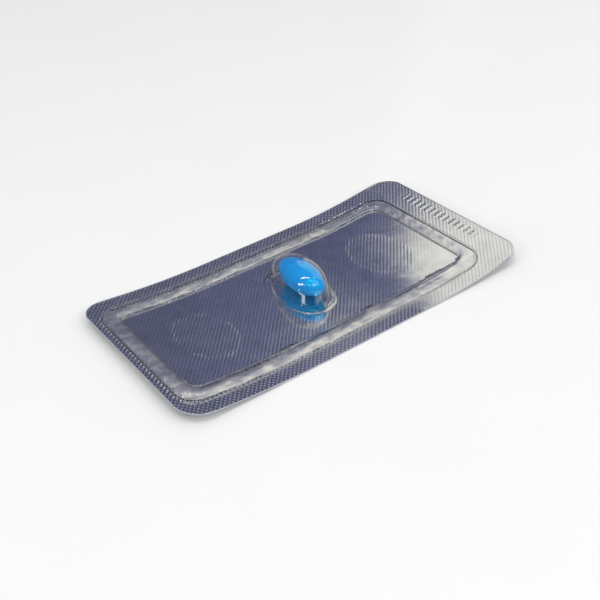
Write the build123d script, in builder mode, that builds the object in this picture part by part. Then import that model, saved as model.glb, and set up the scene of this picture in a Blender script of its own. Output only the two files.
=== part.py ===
from build123d import *
import os
from math import asin, atan2, cos, degrees, radians, sqrt, tan

# Pill blister pack: a bowed card of clear formed film sealed to aluminium foil, with one oval pill.
# Millimetres. +X runs along the card to its wide end margin, +Y to its back edge, +Z up.
# The origin is under the middle of the card, on the surface that it rests on.

# Card, seen from above
card_length = 82.5
card_width = 45.0
card_corner_radius = 5.2

# The card lies flat under its middle and curls up towards both ends
flat_left = 11.6
flat_right = 12.0
left_bow_radius = 193.0
right_bow_radius = 154.0

# Sheets
foil_thickness = 0.04
film_thickness = 0.25

# Raised rib that runs round the card, with margins from the card's edges to the rib's foot
rib_margin_left = 1.9
rib_margin_right = 6.9
rib_margin_side = 4.3
rib_width = 3.2
rib_height = 1.5
rib_outer_corner_radius = 4.2
rib_inner_corner_radius = 3.0
rib_crest_radius = 0.8

# Pill: an oval of four arcs, turned about its long axis
pill_length = 13.6
pill_diameter = 6.65
pill_end_radius = 2.1

# Room left around the pill in its pocket, and how much of it the pill's place takes up
side_room = 1.15
end_room = 0.45
head_room = 1.05
pill_lean_x = 0.65
pill_lean_y = 0.15

# Pocket: a low stepped foot, then a steep wall under a rounded crown
pocket_x = -1.3
pocket_y = 0.0
step_width = 0.9
step_end_width = 1.4
step_height = 0.7
step_edge_radius = 0.25
wall_foot_radius = 0.3
wall_draft_angle = 3.0

# Heights and radii that follow from the sizes above
film_top = foil_thickness + film_thickness
pill_radius = pill_diameter / 2
pill_middle = foil_thickness + pill_radius
crown_top = foil_thickness + pill_diameter + head_room
crown_middle = crown_top - pill_radius - side_room

# Faces that lean less than this from level count as the top of the rib
crest_slope_limit = 30.0


def bow_angle(flat, radius):
    """Angle of an arc that leaves the flat middle and reaches well past the card's end."""
    return degrees(asin((card_length - flat) / radius))


def bevel(radius):
    """Leg of the flat bevel that touches a quarter round of this radius at its middle."""
    return (2 - sqrt(2)) * radius


def bowed_strip(lower, upper):
    """Strip of the bowed card between two heights, measured square to the foil's underside."""
    left_ends = []
    right_ends = []
    with BuildPart() as strip:
        with BuildSketch(Plane.XZ):
            with BuildLine():
                for height in (lower, upper):
                    left = CenterArc(
                        (-flat_left, left_bow_radius),
                        left_bow_radius - height,
                        -90,
                        -bow_angle(flat_left, left_bow_radius),
                    )
                    right = CenterArc(
                        (flat_right, right_bow_radius),
                        right_bow_radius - height,
                        -90,
                        bow_angle(flat_right, right_bow_radius),
                    )
                    Line((-flat_left, height), (flat_right, height))
                    left_ends.append(left @ 1)
                    right_ends.append(right @ 1)
                Line(*left_ends)
                Line(*right_ends)
            make_face()
        extrude(amount=card_width, both=True)
    return strip.part


def card_sheet(lower, upper):
    """Sheet with the card's outline, between two heights of the bow."""
    with BuildPart() as sheet:
        with BuildSketch(Plane.XY.offset(-card_width)):
            RectangleRounded(card_length, card_width, card_corner_radius)
        extrude(amount=2 * card_width)
        add(bowed_strip(lower, upper), mode=Mode.INTERSECT)
    return sheet.part


def crest_edges(solid):
    """Edges round the solid's upper faces, without the seams between one upper face and the next."""
    limit = cos(radians(crest_slope_limit))
    upper_faces = solid.faces().filter_by(lambda face: face.normal_at().Z > limit)
    found = upper_faces.edges()
    return found.filter_by(lambda edge: sum(edge.is_same(other) for other in found) == 1)


def rib_block(inset):
    """The rib as a solid ring on the foil, with its walls and top moved in by inset."""
    rib_left = -card_length / 2 + rib_margin_left
    rib_right = card_length / 2 - rib_margin_right
    length = rib_right - rib_left
    width = card_width - 2 * rib_margin_side
    crest_radius = min(rib_crest_radius, rib_height - film_top)
    with BuildPart() as ring:
        with BuildSketch(Plane.XY.offset(-card_width)):
            with Locations(((rib_left + rib_right) / 2, 0)):
                RectangleRounded(
                    length - 2 * inset,
                    width - 2 * inset,
                    rib_outer_corner_radius - inset,
                )
                RectangleRounded(
                    length - 2 * (rib_width - inset),
                    width - 2 * (rib_width - inset),
                    rib_inner_corner_radius + inset,
                    mode=Mode.SUBTRACT,
                )
        extrude(amount=2 * card_width)
        add(bowed_strip(foil_thickness, rib_height - inset), mode=Mode.INTERSECT)
        chamfer(crest_edges(ring.part), bevel(crest_radius - inset))
    return ring.part


def oval_arcs(half_width, half_length, end_radius, whole):
    """Arcs of an oval that is long along Y: all four, or the half on the +X side."""
    end = half_length - end_radius
    side_radius = (end**2 + half_width**2 - end_radius**2) / (2 * (half_width - end_radius))
    side = side_radius - half_width
    turn = degrees(atan2(end, side))
    CenterArc((-side, 0), side_radius, -turn, 2 * turn)
    if whole:
        CenterArc((0, end), end_radius, turn, 180 - 2 * turn)
        CenterArc((side, 0), side_radius, 180 - turn, 2 * turn)
        CenterArc((0, -end), end_radius, 180 + turn, 180 - 2 * turn)
    else:
        CenterArc((0, end), end_radius, turn, 90 - turn)
        CenterArc((0, -end), end_radius, -90, 90 - turn)
        Line((0, -half_length), (0, half_length))


def turned_oval(centre, half_width, half_length, end_radius, turn):
    """Solid made by turning half an oval about its long axis, from +X up through turn degrees."""
    with BuildPart() as turned:
        with BuildSketch(Plane(centre, x_dir=(1, 0, 0), z_dir=(0, 0, 1))):
            with BuildLine():
                oval_arcs(half_width, half_length, end_radius, whole=False)
            make_face()
        revolve(axis=Axis(centre, (0, -1, 0)), revolution_arc=turn)
    return turned.part


def pocket_block(skin):
    """The pocket's hollow as a solid, or with a skin of film added all round it."""
    half_width = pill_radius + side_room + skin
    half_length = pill_length / 2 + end_room + skin
    end_radius = pill_end_radius + side_room + skin
    wall_spread = (crown_middle - step_height) * tan(radians(wall_draft_angle))
    crown_centre = (pocket_x, pocket_y, crown_middle)
    with BuildPart() as pocket:
        with BuildSketch(Plane((pocket_x, pocket_y, foil_thickness))):
            with BuildLine():
                oval_arcs(
                    half_width + wall_spread + step_width,
                    half_length + wall_spread + step_end_width,
                    end_radius + wall_spread + step_width,
                    whole=True,
                )
            make_face()
        extrude(amount=step_height - film_top + skin)
        step_edges = pocket.faces().sort_by(Axis.Z)[-1].edges()
        chamfer(step_edges, bevel(step_edge_radius + skin))
        with BuildSketch(Plane(crown_centre)):
            with BuildLine():
                oval_arcs(half_width, half_length, end_radius, whole=True)
            make_face()
        extrude(amount=foil_thickness - crown_middle, taper=-wall_draft_angle)
        chamfer(pocket.edges(Select.NEW), bevel(wall_foot_radius + film_thickness - skin))
        add(turned_oval(crown_centre, half_width, half_length, end_radius, 180))
    return pocket.part


# Foil: one sheet, sealed to the film's underside
with BuildPart() as foil:
    add(card_sheet(0, foil_thickness))

# Film: one formed sheet; its rib and pocket are raised on it, then hollowed to its thickness
with BuildPart() as film:
    add(card_sheet(foil_thickness, film_top))
    add(rib_block(0))
    add(pocket_block(film_thickness))
    add(rib_block(film_thickness), mode=Mode.SUBTRACT)
    add(pocket_block(0), mode=Mode.SUBTRACT)

# Pill: loose in the pocket, lying on the foil
pill_centre = (pocket_x + pill_lean_x * side_room, pocket_y + pill_lean_y * end_room, pill_middle)
with BuildPart() as pill:
    add(turned_oval(pill_centre, pill_radius, pill_length / 2, pill_end_radius, 360))

os.makedirs("parts", exist_ok=True)
for piece, name in ((film, "blister_film"), (foil, "lidding_foil"), (pill, "pill")):
    piece.part.label = name
    export_step(piece.part, f"parts/{name}.step")
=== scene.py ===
import bpy
import numpy as np
from mathutils import Matrix, Vector


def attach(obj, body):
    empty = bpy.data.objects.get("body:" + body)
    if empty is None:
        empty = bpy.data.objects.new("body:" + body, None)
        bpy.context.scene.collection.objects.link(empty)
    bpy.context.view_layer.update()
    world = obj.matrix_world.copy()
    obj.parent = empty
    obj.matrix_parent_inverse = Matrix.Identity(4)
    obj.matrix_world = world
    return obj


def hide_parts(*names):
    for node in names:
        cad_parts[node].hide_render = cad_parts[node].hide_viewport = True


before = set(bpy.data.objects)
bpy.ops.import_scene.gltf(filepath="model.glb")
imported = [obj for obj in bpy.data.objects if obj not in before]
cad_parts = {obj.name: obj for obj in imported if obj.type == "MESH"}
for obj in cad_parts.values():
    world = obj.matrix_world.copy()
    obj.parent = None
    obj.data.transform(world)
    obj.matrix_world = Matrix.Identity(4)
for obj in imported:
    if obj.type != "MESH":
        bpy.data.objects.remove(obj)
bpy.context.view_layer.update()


# ---------------------------------------------------------------------------------------------
# Lidding foil. One sheet of hard aluminium foil, heat-sealed to the underside of the film between
# a knurled roller and a plate, so the sealed zones carry a fine diamond knurl. Under the rib and
# the pocket it isn't sealed and stays smooth, with small wrinkles where the rib pulls at it.
# ---------------------------------------------------------------------------------------------
millimetre = 0.001

# The card is flat between two lines across it, and bows up on a circle beyond each.
card_half_length = 41.25
card_half_width = 22.5
card_corner = 5.2
card_flat_left = -11.6
card_flat_right = 12.0
card_bow_left = 193.0
card_bow_right = 154.0

# The rib is measured to the outer feet of its walls, and the pocket to where the foil under it is free.
rib_centre_x = -2.5
rib_half_length = 36.85
rib_half_width = 18.2
rib_width = 3.2
rib_outer_corner = 4.2
rib_inner_corner = 3.0
pocket_x = -1.3
pocket_foot_half_width = 5.77
pocket_foot_half_length = 9.04

foil_thickness = 0.04
foil_columns = 348
foil_rows = 160


def bowed(x, height):
    """Height over the table of a layer of the card. The card is flat between two lines and follows a
    circle beyond each. A layer this far above the foil's underside follows a circle that much smaller."""
    past = np.where(x > card_flat_right, x - card_flat_right, np.minimum(x - card_flat_left, 0))
    radius = np.where(x > card_flat_right, card_bow_right, card_bow_left)
    return radius - np.sqrt((radius - height) ** 2 - past ** 2)


def step_up(value, low, high):
    """0 below low, 1 above high, and a smooth cubic between them."""
    t = np.clip((value - low) / (high - low), 0, 1)
    return t * t * (3 - 2 * t)


def past_rectangle(x, y, half_length, half_width, corner, centre_x):
    """Distance outside a rounded rectangle, negative inside it: the distance past the box of its
    corners' centres, less the corner radius."""
    across = np.abs(x - centre_x) - (half_length - corner)
    along = np.abs(y) - (half_width - corner)
    outside = np.hypot(np.maximum(across, 0), np.maximum(along, 0))
    return outside + np.minimum(np.maximum(across, along), 0) - corner


def past_rib(x, y):
    """Distances outside the rib's outer foot and outside its inner foot, negative inside each."""
    outer = past_rectangle(x, y, rib_half_length, rib_half_width, rib_outer_corner, rib_centre_x)
    inner = past_rectangle(
        x, y, rib_half_length - rib_width, rib_half_width - rib_width, rib_inner_corner, rib_centre_x
    )
    return outer, inner


def past_oval(x, y, centre_x, centre_y, half_width, half_length):
    """Distance outside an ellipse, negative inside it, near enough for a soft edge: how far the point is
    beyond the outline as a share of its distance from the middle, times the smaller half-axis."""
    share = np.sqrt(((x - centre_x) / half_width) ** 2 + ((y - centre_y) / half_length) ** 2)
    return (share - 1) * min(half_width, half_length)


# The knurl's diamonds are four steps of the foil's grid long each way, so that each one is drawn alike.
knurl_pitch_x = 4 * 2 * card_half_length / foil_columns
knurl_pitch_y = 4 * 2 * card_half_width / foil_rows
seal_jag = 0.3
pleat_pitch = 2.7


def knurl_waves(x, y):
    """The two families of diagonal lines of the sealing tool's knurl, each a cosine from -1 to 1."""
    across, along = 2 * np.pi * x / knurl_pitch_x, 2 * np.pi * y / knurl_pitch_y
    return np.cos(across - along), np.cos(across + along)


def seal_zones(x, y, jag):
    """Shares, from 0 to 1, of the foil that are free under the rib and under the pocket. Each diamond of
    the knurl seals or stays free as a whole, so jag moves the edge of the seal in and out with the knurl,
    by up to that much: at the back along the rib's outer foot, and in front along its inner foot, where
    the edge also forms pleats, a triangle wave on a slow sine."""
    outer, inner = past_rib(x, y)
    rising, falling = knurl_waves(x, y)
    jagged = jag * (rising + falling) / 2
    triangle = np.abs((x + 0.4 * y) / pleat_pitch % 1 - 0.5)
    pleats = jag * (0.9 + 1.6 * triangle + 1.2 * np.sin(x / 2.9))
    at_back, in_front = step_up(y, 10, 14), step_up(-y, 8, 12)
    under_rib = step_up(-outer + jagged * at_back, -0.1, 0.45 - 0.3 * at_back)
    under_rib = under_rib * step_up(inner + (jagged + pleats) * in_front, -0.1, 0.15)
    pocket = past_oval(x, y, pocket_x, 0, pocket_foot_half_width, pocket_foot_half_length)
    return under_rib, step_up(-pocket, -0.1, 0.3)


# Free foil under the rib: how far it stands up in a low arch, how fast it rises towards the field where
# it is drawn flat, and its creases, each a height, its cycles per millimetre along x and y, and its phase.
rib_arch = 0.13
rib_rise = 0.02
rib_creases = (
    (0.045, 0.14, 0.05, 0.4),
    (0.035, -0.09, 0.31, 1.9),
    (0.025, 0.37, 0.21, 2.2),
    (0.015, 0.62, -0.48, 5.0),
)


def creased(x, y, creases):
    """Sum of triangle waves, which makes flat facets with creases between them, as in handled foil."""
    total = np.zeros_like(x)
    for height, along_x, along_y, phase in creases:
        angle = 2 * np.pi * (along_x * x + along_y * y) + phase
        total += height * 2 / np.pi * np.arcsin(np.sin(angle))
    return total


def rib_slack(x, y):
    """Height of the free foil under the rib: half a sine across the rib, with creases. Towards the right
    the foil is drawn flat, and in front it then rises a little towards the field."""
    inner = past_rib(x, y)[1]
    drawn_flat = step_up(x, 12, 26)
    arch = rib_arch * np.sin(np.pi * np.clip(inner / rib_width, 0, 1)) * (1 - drawn_flat)
    creases = 0.05 + 0.9 * creased(x, y, rib_creases)
    creases = creases * (1 - 0.8 * drawn_flat - 0.45 * step_up(-x, 29, 34))
    rise = rib_rise * np.clip(rib_width - inner, 0, rib_width) * step_up(-y, 13, 15) * step_up(x, 0, 8)
    return arch + creases + rise


# Two more pockets of the sealing tool have pressed ovals into the field.
press_marks = ((-24.75, -1.0), (20.0, 0.0))
press_half_width = 5.8
press_half_length = 8.3
press_edge = 0.35


def press_zones(x, y):
    """Shares of the press marks: inside them, and round their edges. The edges fade in and out, as the
    square of a sine that runs slantwise over the card."""
    inside, ring = 0, 0
    faded = 0.25 + 0.6 * np.sin(0.42 * x - 0.27 * y - 0.45) ** 2
    for mark in press_marks:
        past = past_oval(x, y, *mark, press_half_width, press_half_length)
        inside = inside + step_up(-past, -0.1, 0.3)
        ring = ring + faded * np.exp(-((past / press_edge) ** 2))
    return inside, ring


def knurl_depth(x, y):
    """How deep the knurl is, from 0 to 1 in the flange: shallow in the field, and more so on its right,
    and deeper in the press marks."""
    inside, ring = press_zones(x, y)
    inner = past_rib(x, y)[1]
    in_flange = step_up(inner, 0.5, 1.0) * (1 - 0.4 * step_up(x, 22, 36))
    return np.clip(in_flange + 0.18 - 0.16 * step_up(x, 0, 14) + 0.1 * inside + 0.6 * ring, 0, 1)


# A row of plain bars is pressed into the wide margin.
bar_x = 38.6
bar_middle_y = 0.5
bar_row_length = 24.0
bar_length = 2.1
bar_width = 0.8
bar_pitch = 1.6
bar_height = 0.02


def pressed_bars(x, y):
    """The row of bars, from 0 to 1: half a cosine across each bar, with soft ends."""
    from_bar = np.abs(((y - bar_middle_y) / bar_pitch) % 1 - 0.5) * bar_pitch
    ridge = np.cos(np.pi * np.clip(from_bar / bar_width, 0, 0.5))
    in_length = step_up(bar_length / 2 - np.abs(x - bar_x), -0.1, 0.2)
    in_row = step_up(bar_row_length / 2 - np.abs(y - bar_middle_y), -0.1, 0.1)
    return ridge * in_length * in_row


# Depth of the knurl's rising and falling lines, as shares of its full height: everywhere, and what the
# flange, the wide margin, the inside and the edge of a press mark and the row beside the rib add to it.
knurl_height = 0.05
rising_depths = (0.03, 0.04, 0.04, 0.14, 0.36, 1.2)
falling_depths = (0.02, 0.05, 0.04, 0.07, 0.21, 1.2)
deep_row_from_rib = 0.4
deep_row_width = 0.3
front_lift = 0.013
underside_print = 0.02


def foil_relief(x, y):
    """Height of the foil's upper face above its lowest level. The field carries mainly one family of the
    knurl's lines and the flange both, which makes diamonds. The lines are deepest round the press marks
    and in one row beside the rib's left end, and the front flange lifts a little towards its edge."""
    under_rib, under_pocket = seal_zones(x, y, seal_jag)
    outer, inner = past_rib(x, y)
    in_flange, in_margin = step_up(inner, -0.2, 0.2), step_up(x, 33, 37)
    deep_row = np.exp(-(((outer - deep_row_from_rib) / deep_row_width) ** 2)) * step_up(-x, 35, 37)
    zones = np.stack([np.ones_like(x), in_flange, in_margin, *press_zones(x, y), deep_row], axis=-1)
    rising, falling = knurl_waves(x, y)
    lines = (zones @ rising_depths) * rising + (zones @ falling_depths) * falling
    knurl = knurl_height / 2 * (1 + (1 - under_rib) * (1 - under_pocket) * lines)
    lift = front_lift * np.maximum(-y - rib_half_width, 0) * step_up(-x, -14, -4)
    return knurl + lift + under_rib * rib_slack(x, y) + bar_height * pressed_bars(x, y)


def underside_relief(x, y):
    """Height of the foil's underside: the knurl shows through faintly, and the foil lifts under the rib."""
    under_rib, under_pocket = seal_zones(x, y, 0)
    outer, inner = past_rib(x, y)
    rising, falling = knurl_waves(x, y)
    lines = (1 - under_rib) * (1 - under_pocket) * (rising + falling) / 2
    lifted = step_up(-outer, 0.3, 0.9) * step_up(inner, 0.3, 0.9)
    return underside_print / 2 * (1 + lines) + 0.8 * lifted * rib_slack(x, y)


# The foil's edge lies a little inside the film's.
foil_inset = 0.03
foil_straight_part = 30.0
guard_step = 0.015


def foil_plan(columns, rows):
    """Grid over the card's outline: rows are even in y. Along x they are even in the middle, and drawn
    in towards the ends of the rows that meet a rounded corner. A short step all round, the guard step,
    keeps the shading true up to the edge."""
    sides = []
    for half, steps in ((card_half_length, columns), (card_half_width, rows)):
        side = np.linspace(-half, half, steps + 1)
        side[1], side[-2] = -half + guard_step, half - guard_step
        sides.append(side)
    across, along = np.meshgrid(*sides)
    into_corner = np.maximum(np.abs(along) - (card_half_width - card_corner), 0)
    reach = card_half_length - card_corner + np.sqrt(card_corner ** 2 - into_corner ** 2)
    past = np.maximum(np.abs(across) - foil_straight_part, 0)
    drawn_in = past * (reach - foil_straight_part) / (card_half_length - foil_straight_part)
    x = np.sign(across) * (np.minimum(np.abs(across), foil_straight_part) + drawn_in)
    return x * (1 - foil_inset / card_half_length), along * (1 - foil_inset / card_half_width)


def add_piece(name, points, faces, flat_faces=slice(0, 0)):
    """New object with its mesh's points in millimetres from the shared origin. Its faces are shaded
    smooth, apart from the flat ones round a cut edge."""
    mesh = bpy.data.meshes.new(name)
    mesh.from_pydata((points * millimetre).tolist(), [], faces)
    smooth = np.full(len(mesh.polygons), True)
    smooth[flat_faces] = False
    mesh.polygons.foreach_set("use_smooth", smooth)
    mesh.update()
    piece = bpy.data.objects.new(name, mesh)
    bpy.context.scene.collection.objects.link(piece)
    return piece


def grid_faces(rows, columns, first=0):
    """Quads of a grid of points, numbered row by row, counter-clockwise seen from above."""
    corner = first + np.arange(rows)[:, None] * (columns + 1) + np.arange(columns)
    quads = np.stack([corner, corner + 1, corner + columns + 2, corner + columns + 1], axis=-1)
    return quads.reshape(-1, 4)


def grid_rim(rows, columns, first=0):
    """Numbers of the points round the edge of a grid, counter-clockwise seen from above."""
    numbers = first + np.arange((rows + 1) * (columns + 1)).reshape(rows + 1, columns + 1)
    return np.concatenate([numbers[0, :-1], numbers[:-1, -1], numbers[-1, :0:-1], numbers[:0:-1, 0]])


# Upper face, split along the knurl's rising lines, underside with half as many rows and columns, and the
# cut edge between them, whose faces have two steps at the top for each one below
top_x, top_y = foil_plan(foil_columns, foil_rows)
low_x, low_y = foil_plan(foil_columns // 2, foil_rows // 2)
top_height = bowed(top_x, foil_thickness + foil_relief(top_x, top_y))
low_height = bowed(low_x, underside_relief(low_x, low_y))
foil_points = np.concatenate([
    np.stack([top_x, top_y, top_height], axis=-1).reshape(-1, 3),
    np.stack([low_x, low_y, low_height], axis=-1).reshape(-1, 3),
])
low_first = top_x.size
top_rim = grid_rim(foil_rows, foil_columns)
low_rim = grid_rim(foil_rows // 2, foil_columns // 2, low_first)
top_quads = grid_faces(foil_rows, foil_columns)
foil_faces = np.concatenate([top_quads[:, [0, 1, 2]], top_quads[:, [0, 2, 3]]]).tolist()
foil_faces += grid_faces(foil_rows // 2, foil_columns // 2, low_first)[:, ::-1].tolist()
rim_first = len(foil_faces)
foil_faces += np.stack([
    low_rim,
    np.roll(low_rim, -1),
    np.roll(top_rim[::2], -1),
    top_rim[1::2],
    top_rim[::2],
], axis=-1).tolist()
foil = add_piece("lidding_foil_sheet", foil_points, foil_faces, slice(rim_first, len(foil_faces)))

# What the finish needs to know of each point: loose under the rib, under the pocket, deep in the knurl
under_rib, under_pocket = seal_zones(foil_points[:, 0], foil_points[:, 1], seal_jag)
deep_knurl = (1 - under_rib) * knurl_depth(foil_points[:, 0], foil_points[:, 1])
loose = under_rib * (1 - 0.6 * step_up(foil_points[:, 0], 12, 26))
loose[low_first:] = 0
for zone, share in (("loose", loose), ("under_pocket", under_pocket), ("deep_knurl", deep_knurl)):
    foil.data.attributes.new(zone, "FLOAT", "POINT").data.foreach_set("value", share)


def linear(hex_colour):
    """Linear red, green, blue and alpha of an sRGB colour written as six hex digits."""
    value = np.array([int(hex_colour[i:i + 2], 16) / 255 for i in (0, 2, 4)])
    light = np.where(value <= 0.04045, value / 12.92, ((value + 0.055) / 1.055) ** 2.4)
    return (*light.tolist(), 1.0)


def new_material(name):
    """Node material with no nodes in it yet."""
    material = bpy.data.materials.new(name)
    material.use_nodes = True
    material.node_tree.nodes.clear()
    return material


def add_node(material, kind, inputs=None, **settings):
    """Adds a node with its settings. Each of its inputs, by name or number, gets a value or is linked to
    another node's output."""
    node = material.node_tree.nodes.new(kind)
    for key, value in settings.items():
        setattr(node, key, value)
    for key, value in (inputs or {}).items():
        if isinstance(value, bpy.types.NodeSocket):
            material.node_tree.links.new(value, node.inputs[key])
        else:
            node.inputs[key].default_value = value
    return node


# Bright-rolled aluminium foil, sealed through its heat-seal lacquer: a soft mirror where the lacquer has
# melted onto the film, and a satin grey where it is free, under the rib.
sealed_roughness = 0.06
loose_roughness = 0.32
foil_metal = new_material("bright_rolled_aluminium_foil")
place = add_node(foil_metal, "ShaderNodeTexCoord").outputs["Object"]
loose_share = add_node(foil_metal, "ShaderNodeAttribute", attribute_name="loose").outputs["Fac"]
pocket_share = add_node(foil_metal, "ShaderNodeAttribute", attribute_name="under_pocket").outputs["Fac"]
knurl_share = add_node(foil_metal, "ShaderNodeAttribute", attribute_name="deep_knurl").outputs["Fac"]
# Rolling lines run along the sheet, 6 to a millimetre and 2.5 mm long.
rolling_map = add_node(
    foil_metal, "ShaderNodeMapping", {"Vector": place, "Scale": np.array([0.4, 6, 0.4]) / millimetre}
)
rolling = add_node(
    foil_metal, "ShaderNodeTexNoise", {"Vector": rolling_map.outputs["Vector"], "Scale": 1.0, "Detail": 3.0}
)
rolling_bump = add_node(
    foil_metal,
    "ShaderNodeBump",
    {"Height": rolling.outputs["Fac"], "Strength": 0.02, "Distance": 0.02 * millimetre},
)
# Slow unevenness of the sealed sheet, in swells about 4 mm across.
swells = add_node(
    foil_metal, "ShaderNodeTexNoise", {"Vector": place, "Scale": 0.26 / millimetre, "Detail": 2.0}
)
foil_bump = add_node(
    foil_metal,
    "ShaderNodeBump",
    {
        "Height": swells.outputs["Fac"],
        "Normal": rolling_bump.outputs["Normal"],
        "Strength": 0.08,
        "Distance": 0.1 * millimetre,
    },
)
# The knurl's points have pressed the lacquer thin and left it satin: in lines 0.73 mm apart in the field,
# where one family of the knurl's ridges is deeper, and in rows of dots in the flange, where both are.
ridges = []
for sign in (-1, 1):
    cycles = np.array([1 / knurl_pitch_x, sign / knurl_pitch_y, 0]) / millimetre
    phase = add_node(
        foil_metal, "ShaderNodeVectorMath", {0: place, 1: 2 * np.pi * cycles}, operation="DOT_PRODUCT"
    )
    wave = add_node(foil_metal, "ShaderNodeMath", {0: phase.outputs["Value"]}, operation="COSINE")
    ridge = add_node(
        foil_metal, "ShaderNodeMapRange", {"Value": wave.outputs[0], "From Min": -1.0, "From Max": 1.0}
    )
    ridges.append(ridge.outputs["Result"])
falling_ridge = add_node(foil_metal, "ShaderNodeMix", {0: knurl_share, 2: 0.9, 3: ridges[1]})
knurl_points = add_node(
    foil_metal, "ShaderNodeMath", {0: ridges[0], 1: falling_ridge.outputs[0]}, operation="MULTIPLY"
)
most_satin = add_node(
    foil_metal, "ShaderNodeMath", {0: knurl_share, 1: 0.42, 2: 0.08}, operation="MULTIPLY_ADD"
)
satin = add_node(
    foil_metal,
    "ShaderNodeMapRange",
    {
        "Value": knurl_points.outputs[0],
        "From Min": 0.3,
        "From Max": 0.9,
        "To Min": sealed_roughness,
        "To Max": most_satin.outputs[0],
    },
)
in_pocket = add_node(
    foil_metal, "ShaderNodeMix", {0: pocket_share, 2: satin.outputs["Result"], 3: sealed_roughness}
)
foil_roughness = add_node(
    foil_metal, "ShaderNodeMix", {0: loose_share, 2: in_pocket.outputs[0], 3: loose_roughness}
)
# Sealed, the foil is a neutral silver that hardly varies. Free under the rib it is blotched grey and cream,
# in smears about 3 mm long and 2 mm wide.
smear_map = add_node(
    foil_metal, "ShaderNodeMapping", {"Vector": place, "Scale": np.array([0.32, 0.56, 0.4]) / millimetre}
)
smears = add_node(
    foil_metal, "ShaderNodeTexNoise", {"Vector": smear_map.outputs["Vector"], "Scale": 1.0, "Detail": 3.0}
)
sealed_tone = add_node(foil_metal, "ShaderNodeValToRGB", {"Fac": swells.outputs["Fac"]})
for stop, position, colour in zip(sealed_tone.color_ramp.elements, (0.3, 0.7), ("CECECB", "DCDCD9")):
    stop.position, stop.color = position, linear(colour)
free_tone = add_node(foil_metal, "ShaderNodeValToRGB", {"Fac": smears.outputs["Fac"]})
for stop, position, colour in zip(free_tone.color_ramp.elements, (0.38, 0.6), ("C2C2C8", "FBF5EB")):
    stop.position, stop.color = position, linear(colour)
foil_colour = add_node(
    foil_metal,
    "ShaderNodeMix",
    {"Factor": loose_share, 6: sealed_tone.outputs["Color"], 7: free_tone.outputs["Color"]},
    data_type="RGBA",
)
foil_shader = add_node(
    foil_metal,
    "ShaderNodeBsdfPrincipled",
    {
        "Base Color": foil_colour.outputs[2],
        "Roughness": foil_roughness.outputs[0],
        "Normal": foil_bump.outputs["Normal"],
        "Metallic": 1.0,
    },
)
add_node(foil_metal, "ShaderNodeOutputMaterial", {"Surface": foil_shader.outputs["BSDF"]})
foil.data.materials.append(foil_metal)
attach(foil, "root")
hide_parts("lidding_foil")


# ---------------------------------------------------------------------------------------------
# Blister film. One sheet of clear PVC film, thermoformed over a mould: a deep oval pocket on a low
# step, and a raised rib that runs round the card. It is sealed to the foil everywhere else.
# ---------------------------------------------------------------------------------------------
# The formed parts are drawn thinner than the flat ones. The film's underside lies just below the foil's
# upper face, so that no gap shows between them where they are sealed.
film_thickness = 0.25
film_top = foil_thickness + film_thickness
film_underside = 0.035
formed_film = 0.08

# Pocket: the pill's oval with room round it, on a wall that leans 3 degrees, a step and its skirt
pill_radius = 3.325
pill_half_length = 6.8
pill_end_radius = 2.1
crown_side_room = 1.15
crown_end_room = 0.45
crown_middle = 3.265
wall_slope = np.tan(np.radians(3.0))
wall_steps = 6
wall_foot_radius = 0.3
step_width = 0.9
step_end_width = 1.4
step_height = 0.7
step_edge_radius = 0.5
step_tread = 0.65
tread_inset = 0.4
skirt_run = 1.16
skirt_foot_reach = 0.6

# Rib: run is how far a wall goes sideways for each millimetre up, and its sheet is that much thicker
# measured level than square to the wall
rib_height = 1.5
rib_wall_run = 0.248
rib_level_thickness = 1.03
rib_foot_radius = 0.1
rib_crest_radius = 0.8
rib_foot_reach = 0.5

long_side_steps = 112
short_side_steps = 56
corner_steps = 16
arc_steps = 5
field_steps = 16
flange_shares = (0.3, 0.6, 1.0)


def rectangle_ring(half_length, half_width, corner, centre_x):
    """Points round a rounded rectangle, counter-clockwise from its right end: even steps round each corner
    and along each straight side, so that rings inside each other match point by point."""
    ends = np.array([(1, 1), (-1, 1), (-1, -1), (1, -1)]) * (half_length - corner, half_width - corner)
    ring = []
    for number, (end, after) in enumerate(zip(ends, np.roll(ends, -1, axis=0))):
        angle = (number + np.arange(corner_steps) / corner_steps) * np.pi / 2
        ring.append(end + corner * np.stack([np.cos(angle), np.sin(angle)], axis=-1))
        steps = short_side_steps if number % 2 else long_side_steps
        share = (np.arange(steps) / steps)[:, None]
        last = (number + 1) * np.pi / 2
        outward = corner * np.array([np.cos(last), np.sin(last)])
        ring.append(end + outward + share * (after - end))
    return np.concatenate(ring) + (centre_x, 0)


# The pocket's rings have their points in the same directions as the rib's, seen from its middle.
mid_rib = rectangle_ring(
    rib_half_length - rib_width / 2,
    rib_half_width - rib_width / 2,
    (rib_outer_corner + rib_inner_corner) / 2,
    rib_centre_x,
)
ring_turn = np.arctan2(mid_rib[:, 1], mid_rib[:, 0] - pocket_x)


def oval_arcs(half_width, half_length, end_radius):
    """Where the centres of an oval's end arcs and side arcs lie, and the radius of its side arcs. The oval
    is long along y, and each side arc runs into the end arcs without a corner."""
    end = half_length - end_radius
    side_radius = (end ** 2 + half_width ** 2 - end_radius ** 2) / (2 * (half_width - end_radius))
    return end, side_radius - half_width, side_radius


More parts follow.
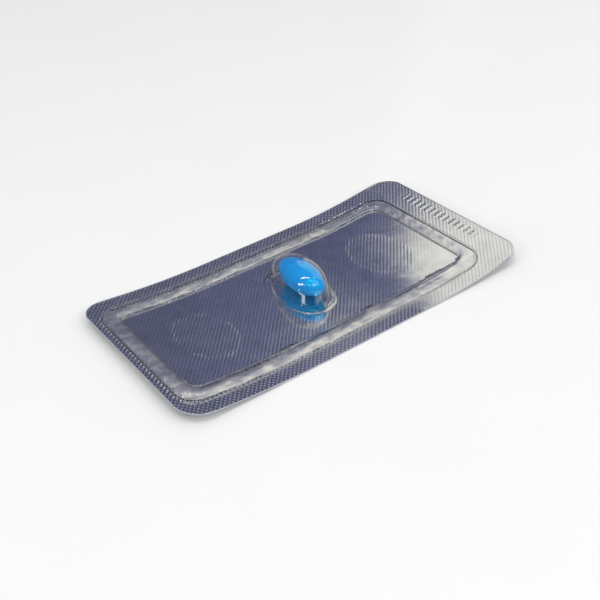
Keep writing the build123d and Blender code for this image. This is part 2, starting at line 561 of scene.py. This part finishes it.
def oval_ring(half_width, half_length, end_radius):
    """Points round an oval of four arcs about the pocket's middle: the distance at each turn is where a
    ray from the middle crosses the end arc or, nearer the sides, the side arc."""
    end, side, side_radius = oval_arcs(half_width, half_length, end_radius)
    across, along = np.abs(np.cos(ring_turn)), np.abs(np.sin(ring_turn))
    reach = 1 + end_radius / (side_radius - end_radius)
    on_end = along * (reach - 1) * side > across * reach * end
    to_side = np.sqrt(side_radius ** 2 - (side * along) ** 2) - side * across
    to_end = end * along + np.sqrt(np.maximum(end_radius ** 2 - (end * across) ** 2, 0))
    distance = np.where(on_end, to_end, to_side)
    return distance[:, None] * np.stack([np.cos(ring_turn), np.sin(ring_turn)], axis=-1)


def oval_half_width(along, half_width, half_length, end_radius):
    """Half the oval's width at a distance along it, from its side arc or its end arc."""
    end, side, side_radius = oval_arcs(half_width, half_length, end_radius)
    meets = end * (1 + end_radius / (side_radius - end_radius))
    along = np.minimum(np.abs(along), half_length)
    on_side = np.sqrt(side_radius ** 2 - along ** 2) - side
    on_end = np.sqrt(np.maximum(end_radius ** 2 - (along - end) ** 2, 0))
    return np.where(along < meets, on_side, on_end)


def rounded_path(corners, radii):
    """Path through corner points with an arc in place of each inner corner: the arc starts and ends at the
    radius times the tangent of half the turn from the corner, and is stepped evenly. A short step before
    and after it keeps the shading of the straight parts true."""
    corners = np.array(corners, dtype=float)
    path = [corners[:1]]
    for before, corner, after, radius in zip(corners, corners[1:], corners[2:], radii):
        arrive = (corner - before) / np.linalg.norm(corner - before)
        leave = (after - corner) / np.linalg.norm(after - corner)
        turn = np.arctan2(arrive[0] * leave[1] - arrive[1] * leave[0], arrive @ leave)
        start = corner - arrive * radius * np.tan(abs(turn) / 2)
        inward = np.sign(turn) * np.array([-arrive[1], arrive[0]])
        angle = np.linspace(0, abs(turn), arc_steps + 1)[:, None]
        arc = start + radius * (np.sin(angle) * arrive + (1 - np.cos(angle)) * inward)
        path += [[start - guard_step * arrive], arc, arc[-1:] + guard_step * leave]
    path.append(corners[-1:])
    return np.concatenate(path)


def pocket_rings(level, sunk, crown_steps):
    """Rings of points from the pocket's crown down to its foot, and their heights. The crown is an oval
    turned about its long axis. Under it the same oval grows by the offset at each point of a profile of
    wall, step and skirt, and on the step it grows more at its ends."""
    skin = film_thickness - sunk
    oval = np.array([
        pill_radius + crown_side_room + skin,
        pill_half_length + crown_end_room + skin,
        pill_end_radius + crown_side_room + skin,
    ])
    rings, heights = [], []
    equator = oval_ring(*oval)
    for angle in np.linspace(0, np.pi / 2, crown_steps + 1)[1:]:
        ring = np.sin(angle) * equator
        half_width = oval_half_width(ring[:, 1], *oval)
        rings.append(ring)
        heights.append(crown_middle + np.sqrt(np.maximum(half_width ** 2 - ring[:, 0] ** 2, 0)))

    tread_level = step_height - sunk
    spread = (crown_middle - tread_level) * wall_slope
    skirt_top = spread + step_tread - tread_inset * sunk
    skirt_foot = skirt_top + skirt_run * (tread_level - level)
    profile = rounded_path(
        [
            (0, crown_middle),
            (spread, tread_level),
            (skirt_top, tread_level),
            (skirt_foot, level),
            (skirt_foot + skirt_foot_reach, level),
        ],
        [wall_foot_radius + sunk, step_edge_radius - sunk, step_edge_radius + sunk],
    )
    wall = np.linspace(profile[0], profile[1], wall_steps + 1)[1:-1]
    for offset, height in np.concatenate([wall, profile[1:]]):
        on_step = max(offset - spread, 0)
        end_growth = min(offset, spread) + on_step * step_end_width / step_width
        rings.append(oval_ring(*(oval + (offset, end_growth, offset))))
        heights.append(np.full(len(ring_turn), height))
    return [ring + (pocket_x, 0) for ring in rings], heights


def rib_rings(level, sunk):
    """Rings of points across the rib, from inside it outwards, and their heights: a rounded rectangle at
    each point of its profile, with corners that grow evenly from the inner to the outer one."""
    top = rib_height - sunk
    wall_foot = rib_level_thickness * sunk + rib_wall_run * (level - film_top)
    wall_top = rib_level_thickness * sunk + rib_wall_run * (top - film_top)
    foot_radius, crest_radius = rib_foot_radius + sunk, rib_crest_radius - sunk
    profile = rounded_path(
        [
            (-rib_foot_reach, level),
            (wall_foot, level),
            (wall_top, top),
            (rib_width - wall_top, top),
            (rib_width - wall_foot, level),
            (rib_width + rib_foot_reach, level),
        ],
        [foot_radius, crest_radius, crest_radius, foot_radius],
    )
    rings = [
        rectangle_ring(
            rib_half_length - rib_width + offset,
            rib_half_width - rib_width + offset,
            rib_inner_corner + offset * (rib_outer_corner - rib_inner_corner) / rib_width,
            rib_centre_x,
        )
        for offset in profile[:, 0]
    ]
    return rings, [np.full(len(ring_turn), height) for height in profile[:, 1]]


def film_side(level, sunk, edge_inset, crown_steps):
    """One face of the film as rings of points with their heights, from the top of the pocket out to the
    edge of the card, in even steps over the field and the flange. level is the face's height in the flange
    over the foil's underside, and sunk how far it lies under the outside of the rib and the pocket."""
    rings, heights = pocket_rings(level, sunk, crown_steps)
    across_rib, rib_heights = rib_rings(level, sunk)
    foot = rings[-1]
    field = [foot + share * (across_rib[0] - foot) for share in np.arange(1, field_steps) / field_steps]
    edge, beside_edge = (
        rectangle_ring(card_half_length - inset, card_half_width - inset, card_corner - inset, 0)
        for inset in (edge_inset, edge_inset + guard_step)
    )
    flange = [across_rib[-1] + share * (beside_edge - across_rib[-1]) for share in flange_shares]
    plan = np.stack([*rings, *field, *across_rib, *flange, edge])
    flat = np.full(len(ring_turn), level)
    height = np.stack([*heights, *[flat] * len(field), *rib_heights, *[flat] * (len(flange) + 1)])
    return np.concatenate([plan, bowed(plan[..., 0], height)[..., None]], axis=-1)


def ring_quads(rings, size):
    """Quads between closed rings of points, numbered ring by ring."""
    point = np.arange(rings * size).reshape(rings, size)
    after = np.roll(point, -1, axis=1)
    return np.stack([point[:-1], point[1:], after[1:], after[:-1]], axis=-1).reshape(-1, 4).tolist()


def pole_fans(rings, size):
    """Triangles that close the first ring and the last ring to two poles, numbered after the rings."""
    first = np.arange(size)
    last = first + (rings - 1) * size
    near, far = np.full(size, rings * size), np.full(size, rings * size + 1)
    return np.concatenate([
        np.stack([near, first, np.roll(first, -1)], axis=-1),
        np.stack([far, np.roll(last, -1), last], axis=-1),
    ]).tolist()


# Outside, two rings on the card's outline that round the cut edge, and inside
outside = film_side(level=film_top, sunk=0, edge_inset=0.1, crown_steps=24)
inside = film_side(level=film_underside, sunk=formed_film, edge_inset=0.05, crown_steps=20)
outline = rectangle_ring(card_half_length, card_half_width, card_corner, 0)
edge_rings = [
    np.column_stack([outline, bowed(outline[:, 0], height)])
    for height in (film_top - 0.07, film_underside + 0.03)
]
film_rings = np.concatenate([outside, edge_rings, inside[::-1]])
ring_count, ring_size = film_rings.shape[:2]
crown_outside = crown_middle + pill_radius + crown_side_room + film_thickness
film_points = np.concatenate([
    film_rings.reshape(-1, 3),
    [(pocket_x, 0, crown_outside), (pocket_x, 0, crown_outside - formed_film)],
])
film_faces = ring_quads(ring_count, ring_size) + pole_fans(ring_count, ring_size)
cut_faces = slice((len(outside) - 1) * ring_size, (len(outside) + len(edge_rings)) * ring_size)
film = add_piece("clear_blister_film", film_points, film_faces, cut_faces)

# Clear rigid PVC, thermoformed: glass-smooth, with slow waves from the forming, about 3 mm across, that
# bend reflections. Light from the lamps and from around goes straight through it.
pvc_ior = 1.46
film_clear = new_material("clear_thermoformed_pvc")
place = add_node(film_clear, "ShaderNodeTexCoord").outputs["Object"]
waves = add_node(
    film_clear, "ShaderNodeTexNoise", {"Vector": place, "Scale": 0.3 / millimetre, "Detail": 1.0}
)
film_bump = add_node(
    film_clear,
    "ShaderNodeBump",
    {"Height": waves.outputs["Fac"], "Strength": 0.03, "Distance": 0.1 * millimetre},
)
film_shader = add_node(
    film_clear,
    "ShaderNodeBsdfPrincipled",
    {
        "Normal": film_bump.outputs["Normal"],
        "Base Color": linear("FAFBFC"),
        "Roughness": 0.03,
        "IOR": pvc_ior,
        "Transmission Weight": 1.0,
    },
)
ray = add_node(film_clear, "ShaderNodeLightPath")
lamp_or_soft = add_node(
    film_clear,
    "ShaderNodeMath",
    {0: ray.outputs["Is Shadow Ray"], 1: ray.outputs["Is Diffuse Ray"]},
    operation="MAXIMUM",
)
let_through = add_node(film_clear, "ShaderNodeBsdfTransparent", {"Color": linear("F6F7F8")})
film_mix = add_node(
    film_clear,
    "ShaderNodeMixShader",
    {0: lamp_or_soft.outputs["Value"], 1: film_shader.outputs["BSDF"], 2: let_through.outputs["BSDF"]},
)
add_node(film_clear, "ShaderNodeOutputMaterial", {"Surface": film_mix.outputs["Shader"]})
film.data.materials.append(film_clear)
# Die-cut edge of the film, frosted by the cut.
cut_edge = new_material("frosted_die_cut_pvc_edge")
cut_shader = add_node(
    cut_edge,
    "ShaderNodeBsdfPrincipled",
    {"Base Color": linear("BCC1CC"), "Roughness": 0.5, "IOR": pvc_ior, "Transmission Weight": 0.2},
)
add_node(cut_edge, "ShaderNodeOutputMaterial", {"Surface": cut_shader.outputs["BSDF"]})
film.data.materials.append(cut_edge)
is_cut = np.zeros(len(film_faces), dtype=np.int32)
is_cut[cut_faces] = 1
film.data.polygons.foreach_set("material_index", is_cut)
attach(film, "root")
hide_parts("blister_film")


# ---------------------------------------------------------------------------------------------
# Pill. One oval tablet, pressed and then sprayed with a glossy sky-blue coat. It is loose in its
# pocket and lies on the foil, a little to the right of the pocket's middle.
# ---------------------------------------------------------------------------------------------
pill_middle = np.array([-0.5525, 0.0675, 3.365])
pill_rings = 96
pill_columns = 128


def turned_pill(rings, columns):
    """The pill's oval turned about its long axis: rings along y, closer together at the ends, each as wide
    as the oval is there, and a pole at each end."""
    along = -pill_half_length * np.cos(np.linspace(0, np.pi, rings + 2)[1:-1])
    radius = oval_half_width(along, pill_radius, pill_half_length, pill_end_radius)[:, None]
    angle = 2 * np.pi * np.arange(columns) / columns
    along = np.repeat(along[:, None], columns, axis=1)
    points = np.stack([radius * np.cos(angle), along, radius * np.sin(angle)], axis=-1)
    ends = [(0, -pill_half_length, 0), (0, pill_half_length, 0)]
    return pill_middle + np.concatenate([points.reshape(-1, 3), ends])


pill_faces = ring_quads(pill_rings, pill_columns) + pole_fans(pill_rings, pill_columns)
pill = add_piece("coated_pill", turned_pill(pill_rings, pill_columns), pill_faces)

# Sprayed and polished tablet coat: a deep glossy blue, with a faint orange peel half a millimetre across.
pill_coat = new_material("glossy_blue_tablet_coat")
place = add_node(pill_coat, "ShaderNodeTexCoord").outputs["Object"]
peel = add_node(
    pill_coat, "ShaderNodeTexNoise", {"Vector": place, "Scale": 1.8 / millimetre, "Detail": 2.0}
)
peel_bump = add_node(
    pill_coat,
    "ShaderNodeBump",
    {"Height": peel.outputs["Fac"], "Strength": 0.05, "Distance": 0.05 * millimetre},
)
pill_tone = add_node(pill_coat, "ShaderNodeValToRGB", {"Fac": peel.outputs["Fac"]})
for stop, position, colour in zip(pill_tone.color_ramp.elements, (0.3, 0.7), ("009EFC", "00A8FF")):
    stop.position, stop.color = position, linear(colour)
pill_shader = add_node(
    pill_coat,
    "ShaderNodeBsdfPrincipled",
    {
        "Base Color": pill_tone.outputs["Color"],
        "Normal": peel_bump.outputs["Normal"],
        "Roughness": 0.1,
        "IOR": 1.55,
        "Specular IOR Level": 1.0,
        "Specular Tint": linear("00FFB4"),
    },
)
add_node(pill_coat, "ShaderNodeOutputMaterial", {"Surface": pill_shader.outputs["BSDF"]})
pill.data.materials.append(pill_coat)
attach(pill, "root")
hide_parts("pill")


# ---------------------------------------------------------------------------------------------
# Table, studio and camera. A matt white table in even white light, and a glowing backdrop round it,
# painted light and shade that only the mirror-bright foil and the clear film show.
# ---------------------------------------------------------------------------------------------
table_half_size = 2000.0
table_corners = np.array([(-1, -1, 0), (1, -1, 0), (1, 1, 0), (-1, 1, 0)])
table = add_piece("studio_table", table_half_size * table_corners, [[0, 1, 2, 3]])
# Matt white lacquer, with a cloudiness of 25 mm that hardly shows.
table_white = new_material("matt_white_table")
place = add_node(table_white, "ShaderNodeTexCoord").outputs["Object"]
grain = add_node(
    table_white, "ShaderNodeTexNoise", {"Vector": place, "Scale": 0.04 / millimetre, "Detail": 2.0}
)
table_tone = add_node(table_white, "ShaderNodeValToRGB", {"Fac": grain.outputs["Fac"]})
for stop, colour in zip(table_tone.color_ramp.elements, ("F8F8F8", "FBFBFB")):
    stop.color = linear(colour)
table_shader = add_node(
    table_white, "ShaderNodeBsdfPrincipled", {"Base Color": table_tone.outputs["Color"], "Roughness": 0.9}
)
add_node(table_white, "ShaderNodeOutputMaterial", {"Surface": table_shader.outputs["BSDF"]})
table.data.materials.append(table_white)

# The backdrop is a glowing dome of painted light and shade for the foil and film to mirror: slate flats
# behind the card under a bright white window, and plain grey elsewhere. The flats' upper edge is a sill,
# given by its slope at some bearings. The dome ends on the table in a board round the card. Bearings run
# from +Y towards +X, and slopes up from level, in degrees.
backdrop_distance = 3000.0
backdrop_columns = 180
backdrop_rows = 120
backdrop_top = 89.5
board_half_size = (44, 26, 0)
board_height = 0.3
sill_bearings = (-48, -20, 0, 10, 22, 30, 32, 34, 36, 38, 42, 46)
sill_slopes = (27, 38, 47, 50, 46, 42, 40.6, 39.1, 37.8, 37.1, 37.2, 36.5)
grey_tone = np.array([0.24, 0.26, 0.29])
window_tone = np.array([1.0, 0.99, 0.95])
low_slate = np.array([0.2, 0.2, 0.25])
middle_slate = np.array([0.115, 0.125, 0.225])
high_slate = np.array([0.128, 0.142, 0.275])


def backdrop_tones(bearing, slope):
    """Linear colour that the backdrop glows with at a bearing and a slope, its painted light and shade:
    each part is laid over the ones before it, with a soft edge. The window is dimmer on its right, and the
    slate darkens and turns bluer upwards."""
    tones = np.zeros((*slope.shape, 3)) + grey_tone
    window = step_up(bearing, 16, 26) * step_up(-bearing, -110, -100) * step_up(-slope, -72, -56)
    light = 1.08 - 0.35 * step_up(bearing, 48, 62)
    tones = tones + window[..., None] * (light[..., None] * window_tone - tones)
    slate = low_slate + step_up(slope, 5, 25)[..., None] * (middle_slate - low_slate)
    slate = slate + step_up(slope, 30.5, 34)[..., None] * (high_slate - slate)
    sill = np.interp(bearing, sill_bearings, sill_slopes)
    flats = step_up(sill - slope, -0.7, 0.7) * step_up(bearing, -50, -44) * step_up(-bearing, -49, -44)
    return tones + flats[..., None] * (slate - tones)


slope, bearing = np.meshgrid(
    np.linspace(0, backdrop_top, backdrop_rows),
    np.linspace(-180, 180, backdrop_columns, endpoint=False),
    indexing="ij",
)
towards = np.stack([
    np.cos(np.radians(slope)) * np.sin(np.radians(bearing)),
    np.cos(np.radians(slope)) * np.cos(np.radians(bearing)),
    np.sin(np.radians(slope)),
], axis=-1)
board = towards[0] * board_half_size
backdrop_points = np.concatenate([board, (backdrop_distance * towards).reshape(-1, 3)])
backdrop_points[:, 2] += board_height
backdrop_faces = ring_quads(backdrop_rows + 1, backdrop_columns)
backdrop_faces.append((backdrop_rows * backdrop_columns + np.arange(backdrop_columns)).tolist())
backdrop = add_piece("studio_backdrop", backdrop_points, backdrop_faces)
tones = backdrop_tones(bearing, slope).reshape(-1, 3)
tones = np.concatenate([tones[:backdrop_columns], tones])
backdrop.data.attributes.new("tone", "FLOAT_COLOR", "POINT").data.foreach_set(
    "color", np.column_stack([tones, np.ones(len(tones))]).ravel()
)
# The backdrop glows in its own colours: painted light and shade that only glossy and transmitted rays see.
backdrop_paint = new_material("glowing_studio_backdrop")
painted = add_node(backdrop_paint, "ShaderNodeAttribute", attribute_name="tone")
backdrop_glow = add_node(backdrop_paint, "ShaderNodeEmission", {"Color": painted.outputs["Color"]})
add_node(backdrop_paint, "ShaderNodeOutputMaterial", {"Surface": backdrop_glow.outputs["Emission"]})
backdrop.data.materials.append(backdrop_paint)
backdrop.visible_camera = False
backdrop.visible_diffuse = False
backdrop.visible_shadow = False

# The sky lights everything softly, and is plain white where it is seen directly, mirrored or through film.
world = bpy.data.worlds.new("even_white_studio")
bpy.context.scene.world = world
world.use_nodes = True
world.node_tree.nodes.clear()
sky = add_node(world, "ShaderNodeBackground", {"Color": linear("FFFFFF"), "Strength": 0.55})
seen = add_node(world, "ShaderNodeBackground", {"Color": linear("FFFFFF"), "Strength": 1.0})
ray = add_node(world, "ShaderNodeLightPath")
mirrored = add_node(
    world,
    "ShaderNodeMath",
    {0: ray.outputs["Is Glossy Ray"], 1: ray.outputs["Is Transmission Ray"]},
    operation="MAXIMUM",
)
in_view = add_node(
    world, "ShaderNodeMath", {0: ray.outputs["Is Camera Ray"], 1: mirrored.outputs[0]}, operation="MAXIMUM"
)
sky_mix = add_node(
    world, "ShaderNodeMixShader", {0: in_view.outputs[0], 1: sky.outputs[0], 2: seen.outputs[0]}
)
add_node(world, "ShaderNodeOutputWorld", {"Surface": sky_mix.outputs[0]})


def add_lamp(name, ends, width, radiance):
    """Strip lamp between two points, in millimetres, that faces the middle of the card. Its power is its
    radiance times its area times pi."""
    ends = np.array(ends, dtype=float) * millimetre
    middle = ends.mean(axis=0)
    length = float(np.linalg.norm(ends[1] - ends[0]))
    lamp = bpy.data.lights.new(name, "AREA")
    lamp.shape = "RECTANGLE"
    lamp.size, lamp.size_y = length, width * millimetre
    lamp.energy = radiance * np.pi * length * width * millimetre
    holder = bpy.data.objects.new(name, lamp)
    bpy.context.scene.collection.objects.link(holder)
    back = Vector(middle).normalized()
    along = Vector(ends[1] - ends[0])
    along = (along - back * along.dot(back)).normalized()
    turn = Matrix((along, back.cross(along), back)).transposed()
    holder.location = middle
    holder.rotation_euler = turn.to_euler()
    return holder


# The tubes and windows give the pocket and the pill their highlights, and the softbox lights the front.
add_lamp("overhead_tube", [(-670, -60, 1000), (110, -270, 1000)], width=40, radiance=22)
add_lamp("overhead_tube_end", [(350, -290, 1000), (490, -300, 1000)], width=40, radiance=22)
add_lamp("left_window", [(-800, -45, 310), (-650, -245, 505)], width=80, radiance=10)
add_lamp("front_window", [(-105, -650, 545), (170, -710, 445)], width=60, radiance=10)
softbox = add_lamp("front_softbox", [(-200, -850, 700), (650, -750, 700)], width=500, radiance=2)
softbox.visible_glossy = False

# The camera stands in front of the card's left end and looks down at it.
camera_place = np.array([-92.73, -139.39, 113.55])
camera_turn = np.radians([55.133, 3.878, -35.919])
camera = bpy.data.objects.new("camera", bpy.data.cameras.new("camera"))
bpy.context.scene.collection.objects.link(camera)
camera.data.sensor_width = 36.0
camera.data.lens = 57.92
camera.data.clip_start = 0.005
camera.data.clip_end = 20.0
camera.location = camera_place * millimetre
camera.rotation_euler = camera_turn
bpy.context.scene.camera = camera
bpy.context.scene.view_settings.view_transform = "Standard"
